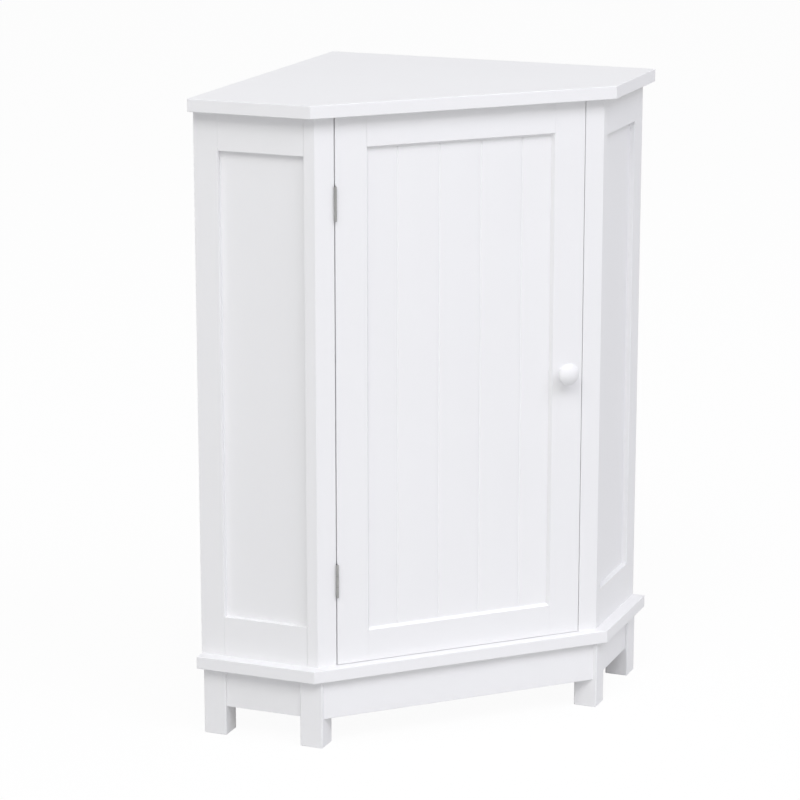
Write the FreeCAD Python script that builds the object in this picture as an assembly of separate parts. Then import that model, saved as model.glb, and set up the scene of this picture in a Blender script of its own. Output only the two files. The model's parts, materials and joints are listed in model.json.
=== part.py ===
import FreeCAD, Part
import math
import os
from FreeCAD import Placement, Rotation, Vector

# Corner bathroom storage cabinet: a five-sided floor cabinet with one inset door and two loose shelves.
# Lengths are millimetres. +Z is up, the door faces -Y, and the origin is on the floor under the middle of the
# cabinet's box. Carcass pieces are laid out in wall lengths: u runs along the right wall and v along the left
# wall, both from the room corner. Front pieces use x and a reach, counted from the room corner to the front.

# Overall sizes
cabinet_height = 800.0
slab_wall_length = 443.0
slab_return_length = 159.0
slab_thickness = 16.0
slab_edge_radius = 1.0
leg_height = 87.0

# Body behind the slabs' overhang
body_wall_length = 427.0
body_return_length = 157.2
frame_thickness = 15.0
edge_ease = 0.5
inner_ease = 0.3
corner_ease = 1.0

# The hairline left between a rail's end and its stile
joint_line = 0.15

# Frames of the two returns
post_return_face = 14.2
post_front_face = 24.8
rear_stile_width = 31.6
side_top_rail_width = 47.0
side_bottom_rail_width = 50.4
side_panel_recess = 6.8
side_panel_thickness = 5.0
groove_depth = 7.0
groove_spare = 0.5
groove_slack = 0.2

# Back
back_panel_thickness = 5.0
rabbet_width = 8.0
rabbet_slack = 0.2
corner_post_size = 25.0

# Legs and aprons
leg_size = 30.0
leg_wall_inset = 4.0
leg_wall_length = 431.0
leg_return_length = 164.3
leg_edge_radius = 1.5
leg_foot_radius = 1.0
apron_height = 50.0
apron_thickness = 15.0
apron_setback = 3.5
glue_block_size = 18.0
glue_block_length = 30.0
side_block_places = (60.0, 110.0)
front_block_place = 100.0

# Door
hinge_side_gap = 1.4
latch_side_gap = 0.9
door_top_gap = 1.5
door_bottom_gap = 0.5
door_thickness = 16.0
door_stile_width = 40.6
door_top_rail_width = 37.0
door_bottom_rail_width = 39.2
door_bevel_width = 2.7
door_bevel_depth = 4.5
door_panel_recess = 5.0
door_panel_thickness = 5.5
bead_count = 4
bead_pitch = 55.0
bead_width = 3.0
bead_depth = 1.2

# Knob
knob_x = 140.5
knob_z = 445.0
knob_base_radius = 7.0
knob_neck_radius = 6.2
knob_cap_radius = 13.75
knob_rim_height = 13.8
knob_rim_under = 1.2
knob_rim_over = 1.4
knob_rim_inset = 0.5
knob_height = 20.6
knob_waist_height = 4.0
knob_collar_radius = 8.0
knob_collar_height = 9.0
knob_cove_step = (1.8, 2.1)
knob_screw_depth = 9.0

# Butt hinges
hinge_from_door_top = 81.6
hinge_from_door_bottom = 86.6
hinge_height = 43.0
hinge_pin_cap = 0.8
hinge_barrel_radius = 1.75
hinge_barrel_stand = 2.2
hinge_leaf_thickness = 0.8
hinge_leaf_depth = 13.0
hinge_leaf_clearance = 0.4
hinge_pin_radius = 1.0
hinge_pin_clearance = 0.05
hinge_pin_cap_radius = 1.55
hinge_pin_cap_flat = 0.9
hinge_mortise_over = 2.0
knuckle_gap = 0.5
hinge_screw_offset = 13.0
hinge_screw_inset = 7.5

# Shelves and their pins
shelf_thickness = 12.0
shelf_clearance = 1.5
shelf_front_clearance = 3.5
shelf_edge_radius = 1.0
shelf_seat_gap = 0.1
pin_radius = 2.5
pin_collar_radius = 3.5
pin_collar_length = 1.2
pin_nose_length = 9.0
pin_nose_chamfer = 1.0
pin_plug_length = 9.0
pin_hole_depth = 10.0
pin_hole_pitch = 32.0
rear_pin_from_wall = 20.0
corner_pin_from_wall = 17.5

# Fasteners
# A screw is its head's radius, its shank's radius and its length
hole_clearance = 0.1
back_screw = (3.5, 1.6, 16.0)
back_screw_rows = 4
back_screw_end = 40.0
back_screw_stagger = 20.0
leg_screw = (3.5, 2.0, 50.0)
hinge_screw = (2.6, 1.3, 14.0)
strike_screw = (2.4, 1.2, 12.0)
catch_screw = (3.0, 1.4, 13.0)
catch_screw_head = 1.8
knob_screw = (4.0, 2.0, door_thickness + knob_screw_depth)
knob_screw_head = 2.4
dowel_radius = 4.0
rail_dowel_length = 27.0
rail_dowel_in_stile = 12.0
post_dowel_length = 24.0
leg_dowel_length = 30.0
dowel_in_slab = 10.0
# Places in a leg's section, from its edges next to the walls
rear_leg_screw = (10.0, 6.0)
rear_leg_dowel = (20.0, 20.0)
front_leg_screw = (8.7, 4.5)
front_leg_dowel = (19.7, 20.0)
corner_leg_screw = (20.0, 20.0)
corner_leg_dowel = (8.0, 22.0)
# Places of the upright dowels, from the outer edge of each stile or post
stile_dowel = (11.0, 6.5)
post_dowel = (4.0, 16.0)
corner_dowel = (8.0, 8.0)
rail_dowel_from_edge = 12.0
rail_dowel_from_opening = 14.0
door_dowel_radius = 3.0
door_dowel_length = 30.0
door_dowel_edge = 9.0
door_dowel_opening = 14.5
cam_radius = 7.5
cam_depth = 11.5
cam_from_rail_edge = 24.0
cam_places = (55.0, 117.0)
cam_bolt_inset = 6.0
cam_bolt_radius = 2.5
cam_bolt_head_radius = 3.3
cam_bolt_head_length = 5.5
cam_channel_radius = 3.6
recess_arm = 0.5
recess_width = 0.24
recess_depth = 0.5

# Magnetic catch
catch_x = 90.0
catch_length = 46.0
catch_block_length = 30.0
catch_height = 13.0
catch_ear_thickness = 4.0
catch_depth = 14.0
catch_gap = 0.4
catch_pole_stand = 1.2
catch_wall = 1.6
catch_ear_inset = 2.0
magnet_length = 24.0
magnet_thickness = 3.6
pole_thickness = 1.2
strike_length = 28.0
strike_height = 12.5
strike_thickness = 1.5

# Worked out from the sizes above
half_root = math.sqrt(0.5)
base_top = leg_height + slab_thickness
top_under = cabinet_height - slab_thickness
middle_z = (base_top + top_under) / 2
front_reach = (body_wall_length + body_return_length) * half_root
front_half = (body_wall_length - body_return_length) * half_root
slab_corner_inset = slab_edge_radius * (math.sqrt(2) - 1)
back_y = (front_reach + knob_height + slab_corner_inset) / 2
side_inner = body_wall_length - frame_thickness
opening_front_u = body_return_length - post_return_face
opening_bottom = base_top + side_bottom_rail_width
opening_top = top_under - side_top_rail_width
opening_half = front_half - post_front_face
door_left = hinge_side_gap - opening_half
door_right = opening_half - latch_side_gap
door_bottom = base_top + door_bottom_gap
door_top = top_under - door_top_gap
door_back = front_reach - door_thickness
panel_left = door_left + door_stile_width
panel_right = door_right - door_stile_width
panel_bottom = door_bottom + door_bottom_rail_width
panel_top = door_top - door_top_rail_width
door_edge_x = (panel_left + door_bevel_width, panel_right - door_bevel_width)
door_edge_z = (panel_bottom + door_bevel_width, panel_top - door_bevel_width)
hinge_x = door_left - hinge_side_gap / 2
hinge_reach = front_reach + hinge_barrel_stand
hinge_leaf_face = hinge_leaf_clearance / 2
hinge_leaf_seat = hinge_leaf_face + hinge_leaf_thickness
tier_height = (top_under - base_top - 2 * shelf_thickness) / 3
lower_shelf_z = base_top + tier_height
upper_shelf_z = lower_shelf_z + shelf_thickness + tier_height
up = Vector(0, 0, 1)
down = Vector(0, 0, -1)

pieces = {}
holes = {}


def point(u, v, z):
    return Vector((u - v) * half_root, back_y - (u + v) * half_root, z)


def along(u, v):
    return Vector((u - v) * half_root, -(u + v) * half_root, 0)


def front_point(x, reach, z):
    return Vector(x, back_y - reach, z)


def mirrored(shape):
    return shape.mirror(Vector(0, 0, 0), Vector(1, 0, 0))


def swept(corners, sweep):
    face = Part.Face(Part.makePolygon(corners + corners[:1]))
    return face.extrude(sweep)


def prism(outline, bottom, top):
    corners = [point(u, v, bottom) for u, v in outline]
    return swept(corners, Vector(0, 0, top - bottom))


def wall_box(u, v, z):
    outline = [(u[0], v[0]), (u[0], v[1]), (u[1], v[1]), (u[1], v[0])]
    return prism(outline, z[0], z[1])


def front_box(x, reach, z):
    corner = front_point(x[0], reach[1], z[0])
    return Part.makeBox(x[1] - x[0], reach[1] - reach[0], z[1] - z[0], corner)


def turned(profile):
    corners = [Vector(radius, 0, height) for radius, height in profile]
    face = Part.Face(Part.makePolygon(corners + corners[:1]))
    return face.revolve(Vector(0, 0, 0), up, 360)


def placed(shape, position, direction):
    copy = shape.copy()
    copy.Placement = Placement(position, Rotation(up, direction))
    return copy


def eased(shape, radius, touching):
    near = 0.01
    marks = [Part.Vertex(place) for place in touching]
    edges = [edge for edge in shape.Edges if any(edge.distToShape(mark)[0] < near for mark in marks)]
    return shape.makeFillet(radius, edges)


def moved(shape, shift):
    copy = shape.copy()
    copy.translate(shift)
    return copy


def rod(radius, length, position, direction):
    return Part.makeCylinder(radius, length, position, direction)


def drill(node, tool):
    holes.setdefault(node, []).append(tool)


def drill_both(node, tool):
    drill(node, tool)
    drill(node, mirrored(tool))


def drill_pair(name, tool):
    drill("left_" + name, tool)
    drill("right_" + name, mirrored(tool))


def add_pair(name, shape):
    pieces["left_" + name] = shape
    pieces["right_" + name] = mirrored(shape)


def both_sides(solids):
    return solids + [mirrored(solid) for solid in solids]


# Fasteners, made along +Z with the head's face at height 0

def cross_recess(radius):
    arm = Part.makeBox(2 * recess_arm * radius, recess_width * radius, recess_depth * radius)
    arm.translate(Vector(-recess_arm * radius, -recess_width * radius / 2, 0))
    other = arm.copy()
    other.rotate(Vector(0, 0, 0), up, 90)
    return arm.fuse(other)


def flat_screw(head_radius, shank_radius, length):
    tip = 2 * shank_radius
    cone = head_radius - shank_radius
    profile = [(0, 0), (head_radius, 0), (shank_radius, cone), (shank_radius, length - tip), (0, length)]
    return turned(profile).cut(cross_recess(head_radius))


def flat_screw_hole(head_radius, shank_radius, length):
    head = head_radius + hole_clearance
    shank = shank_radius + hole_clearance
    cone = head_radius - shank_radius
    depth = length + hole_clearance
    return turned([(0, -1), (head, -1), (head, 0), (shank, cone), (shank, depth), (0, depth)])


def pan_screw(head_height, head_radius, shank_radius, length):
    crown = 0.7 * head_radius
    rim = 0.6 * head_height
    profile = [(0, 0), (crown, 0), (head_radius, rim), (head_radius, head_height)]
    profile += [(shank_radius, head_height), (shank_radius, head_height + length), (0, head_height + length)]
    return turned(profile).cut(cross_recess(head_radius))


# Slabs, posts and the frames of the two returns

def slab(bottom):
    wall = slab_wall_length
    short = slab_return_length
    outline = [(0, 0), (wall, 0), (wall, short), (short, wall), (0, wall)]
    shape = prism(outline, bottom, bottom + slab_thickness)
    return shape.makeFillet(slab_edge_radius, shape.Edges)


def post_outline():
    front_step = post_front_face * half_root
    thick_step = frame_thickness * half_root
    front_end = (body_return_length + front_step, body_wall_length - front_step)
    inner_end = (front_end[0] - thick_step, front_end[1] - thick_step)
    corner = (body_return_length, body_wall_length)
    return [(opening_front_u, body_wall_length), corner, front_end, inner_end, (opening_front_u, side_inner)]


def front_post():
    outline = post_outline()
    shape = prism(outline, base_top, top_under)
    shape = eased(shape, inner_ease, [point(*outline[0], middle_z)])
    shape = eased(shape, corner_ease, [point(*outline[1], middle_z)])
    return eased(shape, edge_ease, [point(*outline[2], middle_z)])


def rear_stile():
    shape = wall_box((0, rear_stile_width), (side_inner, body_wall_length), (base_top, top_under))
    shape = eased(shape, inner_ease, [point(rear_stile_width, body_wall_length, middle_z)])
    shape = eased(shape, edge_ease, [point(0, body_wall_length, middle_z)])
    rabbet_depth = back_panel_thickness + rabbet_slack
    rabbet_end = side_inner + rabbet_width
    rabbet = wall_box((-1, rabbet_depth), (side_inner - 1, rabbet_end), (base_top - 1, top_under + 1))
    return shape.cut(rabbet)


def side_rail(outer, inner):
    u = (rear_stile_width + joint_line, opening_front_u - joint_line)
    shape = wall_box(u, (side_inner, body_wall_length), (min(outer, inner), max(outer, inner)))
    return eased(shape, inner_ease, [point(sum(u) / 2, body_wall_length, inner)])


def side_panel_faces():
    front = body_wall_length - side_panel_recess
    return front - side_panel_thickness, front


def side_panel():
    tongue = groove_depth - groove_spare
    u = (rear_stile_width - tongue, opening_front_u + tongue)
    z = (opening_bottom - groove_depth, opening_top + tongue)
    return wall_box(u, side_panel_faces(), z)


def side_panel_groove():
    inner, outer = side_panel_faces()
    u = (rear_stile_width - groove_depth, opening_front_u + groove_depth)
    z = (opening_bottom - groove_depth, opening_top + groove_depth)
    return wall_box(u, (inner - groove_slack, outer), z)


def make_carcass():
    pieces["top_panel"] = slab(top_under)
    pieces["base_panel"] = slab(leg_height)
    add_pair("front_post", front_post())
    add_pair("rear_stile", rear_stile())
    add_pair("top_rail", side_rail(top_under, opening_top))
    add_pair("bottom_rail", side_rail(base_top, opening_bottom))
    add_pair("side_panel", side_panel())
    for name in ("front_post", "rear_stile", "top_rail", "bottom_rail"):
        drill_pair(name, side_panel_groove())


# Thin back panels, screwed to the rear stiles and to the post in the room corner

def make_back():
    depth = (0, back_panel_thickness)
    far = side_inner + rabbet_width - rabbet_slack
    height = (base_top, top_under)
    left = wall_box(depth, (0, far), height)
    pieces["left_back_panel"] = eased(left, slab_edge_radius, [point(0, 0, middle_z)])
    pieces["right_back_panel"] = wall_box((back_panel_thickness, far), depth, height)
    post = (back_panel_thickness, back_panel_thickness + corner_post_size)
    pieces["rear_corner_post"] = wall_box(post, post, height)


def make_back_screws():
    stile_v = side_inner + rabbet_width / 2
    row_step = (top_under - base_top - 2 * back_screw_end) / (back_screw_rows - 1)
    heights = [base_top + back_screw_end + row * row_step for row in range(back_screw_rows)]
    screw = flat_screw(*back_screw)
    hole = flat_screw_hole(*back_screw)
    screws = []
    for z in heights:
        at_stile = point(0, stile_v, z)
        tool = placed(hole, at_stile, along(1, 0))
        screws += both_sides([placed(screw, at_stile, along(1, 0))])
        drill_pair("back_panel", tool)
        drill_pair("rear_stile", tool)
        corners = [("left_back_panel", point(0, corner_pin_from_wall, z), along(1, 0))]
        corners += [("right_back_panel", point(corner_pin_from_wall, 0, z + back_screw_stagger), along(0, 1))]
        for panel, place, direction in corners:
            screws.append(placed(screw, place, direction))
            drill(panel, placed(hole, place, direction))
            drill("rear_corner_post", placed(hole, place, direction))
    pieces["back_panel_screws"] = Part.makeCompound(screws)


# Legs and aprons

def leg(u, v):
    shape = wall_box((u, u + leg_size), (v, v + leg_size), (0, leg_height))
    corners = [(u, v), (u + leg_size, v), (u, v + leg_size), (u + leg_size, v + leg_size)]
    shape = eased(shape, leg_edge_radius, [point(*corner, leg_height / 2) for corner in corners])
    return shape.makeFillet(leg_foot_radius, foot_edges(shape))


def foot_edges(shape):
    return [edge for edge in shape.Edges if edge.BoundBox.ZMax < leg_foot_radius / 2]


def make_legs():
    leg_v = leg_wall_length - leg_size
    add_pair("rear_leg", leg(leg_wall_inset, leg_v))
    add_pair("front_leg", leg(leg_return_length - leg_size, leg_v))
    pieces["rear_corner_leg"] = leg(leg_wall_inset, leg_wall_inset)


def apron_planes():
    side_outer = leg_wall_length - apron_setback
    front_outer = (leg_wall_length + leg_return_length) * half_root - apron_setback
    return side_outer, front_outer


def make_aprons():
    height = (leg_height - apron_height, leg_height)
    side_outer, front_outer = apron_planes()
    near = leg_wall_inset + leg_size
    far = leg_return_length - leg_size
    side = wall_box((near, far), (side_outer - apron_thickness, side_outer), height)
    add_pair("apron", eased(side, edge_ease, [point((near + far) / 2, side_outer, height[0])]))

    leg_face = leg_return_length
    outer_v = front_outer / half_root - leg_face
    inner_v = (front_outer - apron_thickness) / half_root - leg_face
    outline = [(leg_face, outer_v), (outer_v, leg_face), (inner_v, leg_face), (leg_face, inner_v)]
    front = prism(outline, *height)
    pieces["front_apron"] = eased(front, edge_ease, [front_point(0, front_outer, height[0])])

    block_z = (leg_height - glue_block_size, leg_height)
    side_face = side_outer - apron_thickness
    front_face = front_outer - apron_thickness
    blocks = []
    for place in side_block_places:
        u = (place - glue_block_length / 2, place + glue_block_length / 2)
        blocks.append(wall_box(u, (side_face - glue_block_size, side_face), block_z))
    x = (-front_block_place - glue_block_length / 2, -front_block_place + glue_block_length / 2)
    blocks.append(front_box(x, (front_face - glue_block_size, front_face), block_z))
    pieces["apron_glue_blocks"] = Part.makeCompound(both_sides(blocks))


def make_leg_fasteners():
    leg_v = leg_wall_length - leg_size
    front_u = leg_return_length - leg_size
    legs = [("rear_leg", (leg_wall_inset, leg_v), rear_leg_screw, rear_leg_dowel)]
    legs += [("front_leg", (front_u, leg_v), front_leg_screw, front_leg_dowel)]
    legs += [("rear_corner_leg", (leg_wall_inset, leg_wall_inset), corner_leg_screw, corner_leg_dowel)]
    screw = flat_screw(*leg_screw)
    hole = flat_screw_hole(*leg_screw)
    screws = []
    dowels = []
    for name, (u, v), screw_place, dowel_place in legs:
        at_screw = point(u + screw_place[0], v + screw_place[1], base_top)
        at_dowel = point(u + dowel_place[0], v + dowel_place[1], leg_height + dowel_in_slab)
        leg_screws = [placed(screw, at_screw, down)]
        leg_dowels = [rod(dowel_radius, leg_dowel_length, at_dowel, down)]
        dowel_hole = rod(dowel_radius + hole_clearance, leg_dowel_length, at_dowel, down)
        tools = [placed(hole, at_screw, down), dowel_hole]
        if name in pieces:
            screws += leg_screws
            dowels += leg_dowels
            for tool in tools:
                drill(name, tool)
                drill("base_panel", tool)
        else:
            screws += both_sides(leg_screws)
            dowels += both_sides(leg_dowels)
            for tool in tools:
                drill_pair(name, tool)
                drill_both("base_panel", tool)
    pieces["leg_screws"] = Part.makeCompound(screws)
    pieces["leg_dowels"] = Part.makeCompound(dowels)


# Dowels and cam connectors that join the carcass

def make_frame_dowels():
    middle_v = body_wall_length - frame_thickness / 2
    rails = [("top_rail", (top_under - rail_dowel_from_edge, opening_top + rail_dowel_from_opening))]
    rails += [("bottom_rail", (base_top + rail_dowel_from_edge, opening_bottom - rail_dowel_from_opening))]
    ends = [("rear_stile", rear_stile_width - rail_dowel_in_stile)]
    ends += [("front_post", opening_front_u + rail_dowel_in_stile - rail_dowel_length)]
    dowels = []
    for rail, heights in rails:
        for upright, start_u in ends:
            for z in heights:
                place = point(start_u, middle_v, z)
                dowels.append(rod(dowel_radius, rail_dowel_length, place, along(1, 0)))
                tool = rod(dowel_radius + hole_clearance, rail_dowel_length, place, along(1, 0))
                drill_pair(rail, tool)
                drill_pair(upright, tool)
    pieces["frame_dowels"] = Part.makeCompound(both_sides(dowels))


def make_post_dowels():
    stile_place = (stile_dowel[0], body_wall_length - stile_dowel[1])
    post_place = (body_return_length + post_dowel[0], body_wall_length - post_dowel[1])
    corner_place = (back_panel_thickness + corner_dowel[0], back_panel_thickness + corner_dowel[1])
    starts = [base_top - dowel_in_slab, top_under + dowel_in_slab - post_dowel_length]
    dowels = []
    for slab_name, start in zip(("base_panel", "top_panel"), starts):
        for name, place in (("rear_stile", stile_place), ("front_post", post_place)):
            foot = point(*place, start)
            dowels += both_sides([rod(dowel_radius, post_dowel_length, foot, up)])
            tool = rod(dowel_radius + hole_clearance, post_dowel_length, foot, up)
            drill_pair(name, tool)
            drill_both(slab_name, tool)
        foot = point(*corner_place, start)
        dowels.append(rod(dowel_radius, post_dowel_length, foot, up))
        tool = rod(dowel_radius + hole_clearance, post_dowel_length, foot, up)
        drill("rear_corner_post", tool)
        drill(slab_name, tool)
    pieces["post_dowels"] = Part.makeCompound(dowels)


def make_cam_connectors():
    bolt_v = side_inner + cam_bolt_inset
    joints = [("top_rail", "top_panel", top_under, up), ("bottom_rail", "base_panel", base_top, down)]
    cams = []
    bolts = []
    for rail, slab_name, edge, outward in joints:
        for u in cam_places:
            centre_z = edge - outward.z * cam_from_rail_edge
            face = point(u, side_inner, centre_z)
            centre = point(u, bolt_v, centre_z)
            channel = rod(cam_channel_radius, cam_from_rail_edge, centre, outward)
            seat = rod(cam_channel_radius, cam_bolt_head_length, centre, outward * -1)
            cam = rod(cam_radius, cam_depth, face, along(0, 1))
            recess = placed(cross_recess(cam_radius), face, along(0, 1))
            cams.append(cam.cut([channel, seat, recess]))
            pocket = rod(cam_radius + hole_clearance, cam_depth + hole_clearance, face, along(0, 1))
            drill_pair(rail, pocket)
            drill_pair(rail, channel)

            head_start = centre - outward * (cam_bolt_head_length / 2)
            head = rod(cam_bolt_head_radius, cam_bolt_head_length, head_start, outward)
            shank_length = cam_from_rail_edge + dowel_in_slab
            bolts.append(head.fuse(rod(cam_bolt_radius, shank_length, centre, outward)))
            edge_place = point(u, bolt_v, edge)
            socket_depth = dowel_in_slab + hole_clearance
            socket = rod(cam_bolt_radius + hole_clearance, socket_depth, edge_place, outward)
            drill_both(slab_name, socket)
    pieces["cam_locks"] = Part.makeCompound(both_sides(cams))
    pieces["cam_bolts"] = Part.makeCompound(both_sides(bolts))


# Shelves, with three pin holes for each support

def inner_post_face():
    outline = post_outline()
    return outline[3], outline[4]


def post_face_normal():
    front_end, rear_end = inner_post_face()
    run_u = front_end[0] - rear_end[0]
    run_v = front_end[1] - rear_end[1]
    length = math.hypot(run_u, run_v)
    return run_v / length, -run_u / length


def shelf_outline():
    wall = back_panel_thickness + shelf_clearance
    side = side_inner - shelf_clearance
    notch = back_panel_thickness + corner_post_size + shelf_clearance
    front_sum = (door_back - shelf_front_clearance) / half_root
    rear_end = inner_post_face()[1]
    normal_u, normal_v = post_face_normal()
    limit = rear_end[0] * normal_u + rear_end[1] * normal_v + shelf_clearance
    at_side = ((limit - side * normal_v) / normal_u, side)
    front_u = (limit - front_sum * normal_v) / (normal_u - normal_v)
    at_front = (front_u, front_sum - front_u)
    left = [(notch, notch), (wall, notch), (wall, side), at_side, at_front]
    return left + [(v, u) for u, v in reversed(left[1:])]


def shelf(bottom):
    shape = prism(shelf_outline(), bottom, bottom + shelf_thickness)
    front = door_back - shelf_front_clearance
    marks = [front_point(0, front, bottom), front_point(0, front, bottom + shelf_thickness)]
    return eased(shape, shelf_edge_radius, marks)


def shelf_pin():
    profile = [(0, -pin_plug_length), (pin_radius, -pin_plug_length), (pin_radius, 0), (pin_collar_radius, 0)]
    profile += [(pin_collar_radius, pin_collar_length), (pin_radius, pin_collar_length)]
    tip_radius = pin_radius - pin_nose_chamfer
    profile += [(pin_radius, pin_nose_length - pin_nose_chamfer), (tip_radius, pin_nose_length)]
    return turned(profile + [(0, pin_nose_length)])


def pin_supports():
    front_end, rear_end = inner_post_face()
    post_middle = ((front_end[0] + rear_end[0]) / 2, (front_end[1] + rear_end[1]) / 2)
    rear_support = ("rear_stile", (rear_pin_from_wall, side_inner), (0, -1))
    return [rear_support, ("front_post", post_middle, post_face_normal())]


def make_shelves():
    corner_face = back_panel_thickness + corner_post_size
    corner_place = (corner_face, corner_pin_from_wall)
    pin = shelf_pin()
    for name, bottom in (("upper_shelf", upper_shelf_z), ("lower_shelf", lower_shelf_z)):
        pieces[name] = shelf(bottom)
        level = bottom - shelf_seat_gap - pin_radius
        pins = [placed(pin, point(*corner_place, level), along(1, 0))]
        for upright, place, facing in pin_supports():
            pins += both_sides([placed(pin, point(*place, level), along(*facing))])
        pieces[name + "_pins"] = Part.makeCompound(pins)
        hole_radius = pin_radius + hole_clearance
        for row in (-1, 0, 1):
            z = level + row * pin_hole_pitch
            for upright, place, facing in pin_supports():
                inward = along(*facing) * -1
                drill_pair(upright, rod(hole_radius, pin_hole_depth, point(*place, z), inward))
            corner_hole = rod(hole_radius, pin_hole_depth, point(*corner_place, z), along(-1, 0))
            drill("rear_corner_post", corner_hole)


# Door: stiles run full height, rails with coped ends between them, beaded panel in grooves

def beveled(shape, edge, outward, sweep):
    corners = [edge, edge + outward * door_bevel_width, edge + Vector(0, door_bevel_depth, 0)]
    return shape.cut(swept(corners, sweep))


def door_stile(outer, inner):
    z = (door_bottom, door_top)
    shape = front_box((min(outer, inner), max(outer, inner)), (door_back, front_reach), z)
    marks = [front_point(outer, front_reach, middle_z)]
    marks += [front_point((outer + inner) / 2, front_reach, edge) for edge in z]
    shape = eased(shape, edge_ease, marks)
    outward = Vector(math.copysign(1, outer - inner), 0, 0)
    return beveled(shape, front_point(inner, front_reach, z[0]), outward, Vector(0, 0, z[1] - z[0]))


def door_rail(outer, inner):
    z = (min(outer, inner), max(outer, inner))
    shape = front_box((panel_left, panel_right), (door_back, front_reach), z)
    shape = eased(shape, edge_ease, [front_point(0, front_reach, outer)])
    outward = Vector(0, 0, math.copysign(1, outer - inner))
    length = Vector(panel_right - panel_left, 0, 0)
    shape = beveled(shape, front_point(panel_left, front_reach, inner), outward, length)
    left = moved(pieces["door_left_stile"], Vector(joint_line, 0, 0))
    right = moved(pieces["door_right_stile"], Vector(-joint_line, 0, 0))
    return shape.cut([left, right])


def door_panel():
    tongue = groove_depth - groove_spare
    front = front_reach - door_panel_recess
    x = (door_edge_x[0] - tongue, door_edge_x[1] + tongue)
    z = (door_edge_z[0] - groove_depth, door_edge_z[1] + tongue)
    shape = front_box(x, (front - door_panel_thickness, front), z)
    middle = sum(door_edge_x) / 2
    grooves = []
    for number in range(bead_count):
        x = middle + (number - (bead_count - 1) / 2) * bead_pitch
        rim = [front_point(x - bead_width / 2, front, z[0]), front_point(x + bead_width / 2, front, z[0])]
        corners = rim + [front_point(x, front - bead_depth, z[0])]
        grooves.append(swept(corners, Vector(0, 0, z[1] - z[0])))
    return shape.cut(grooves)


def make_door():
    pieces["door_left_stile"] = door_stile(door_left, door_edge_x[0])
    pieces["door_right_stile"] = door_stile(door_right, door_edge_x[1])
    pieces["door_top_rail"] = door_rail(door_top, door_edge_z[1])
    pieces["door_bottom_rail"] = door_rail(door_bottom, door_edge_z[0])
    pieces["door_panel"] = door_panel()
    groove_front = front_reach - door_panel_recess
    groove_x = (door_edge_x[0] - groove_depth, door_edge_x[1] + groove_depth)
    groove_z = (door_edge_z[0] - groove_depth, door_edge_z[1] + groove_depth)
    groove_reach = (groove_front - door_panel_thickness - groove_slack, groove_front)
    groove = front_box(groove_x, groove_reach, groove_z)
    for name in ("door_left_stile", "door_right_stile", "door_top_rail", "door_bottom_rail"):
        drill(name, groove)

    middle_reach = front_reach - door_thickness / 2
    rows = [("door_top_rail", (door_top - door_dowel_edge, panel_top + door_dowel_opening))]
    rows += [("door_bottom_rail", (door_bottom + door_dowel_edge, panel_bottom - door_dowel_opening))]
    dowels = []
    ends = [("door_left_stile", door_edge_x[0]), ("door_right_stile", door_edge_x[1])]
    for rail, heights in rows:
        for z in heights:
            for stile, edge in ends:
                start = front_point(edge - door_dowel_length / 2, middle_reach, z)
                dowels.append(rod(door_dowel_radius, door_dowel_length, start, Vector(1, 0, 0)))
                tool = rod(door_dowel_radius + hole_clearance, door_dowel_length, start, Vector(1, 0, 0))
                drill(rail, tool)
                drill(stile, tool)
    pieces["door_dowels"] = Part.makeCompound(dowels)


# Turned knob, with the screw that comes through the stile from behind

def knob_profile():
    cap = knob_cap_radius
    rim = knob_rim_height
    waist = Vector(knob_neck_radius, 0, knob_waist_height)
    collar = Vector(knob_collar_radius, 0, knob_collar_height)
    cove = collar + Vector(knob_cove_step[0], 0, knob_cove_step[1])
    under = Vector(cap - knob_rim_inset, 0, rim - knob_rim_under)
    over = Vector(cap - knob_rim_inset, 0, rim + knob_rim_over)
    tip = Vector(0, 0, knob_height)
    centre_z = (knob_height ** 2 - over.x ** 2 - over.z ** 2) / (2 * (knob_height - over.z))
    dome_radius = knob_height - centre_z
    half_turn = math.asin(over.x / dome_radius) / 2
    crown = Vector(dome_radius * math.sin(half_turn), 0, centre_z + dome_radius * math.cos(half_turn))
    foot = Vector(knob_base_radius, 0, 0)
    edges = [Part.LineSegment(Vector(0, 0, 0), foot), Part.Arc(foot, waist, collar)]
    edges += [Part.Arc(collar, cove, under), Part.Arc(under, Vector(cap, 0, rim), over)]
    edges += [Part.Arc(over, crown, tip)]
    edges += [Part.LineSegment(tip, Vector(0, 0, 0))]
    return Part.Wire([edge.toShape() for edge in edges])


def make_knob():
    outward = Vector(0, -1, 0)
    seat = front_point(knob_x, front_reach, knob_z)
    knob = Part.Face(knob_profile()).revolve(Vector(0, 0, 0), up, 360)
    pieces["door_knob"] = placed(knob, seat, outward)
    screw = pan_screw(knob_screw_head, *knob_screw)
    head_face = front_point(knob_x, door_back - knob_screw_head, knob_z)
    pieces["knob_screw"] = placed(screw, head_face, outward)
    door_side = front_point(knob_x, door_back, knob_z)
    tool = rod(knob_screw[1] + hole_clearance, knob_screw[2] + hole_clearance, door_side, outward)
    drill("door_right_stile", tool)
    drill("door_knob", tool)


# Butt hinges: three knuckles on a fixed pin, leaves let into the door and the post on both sides of the gap

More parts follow.
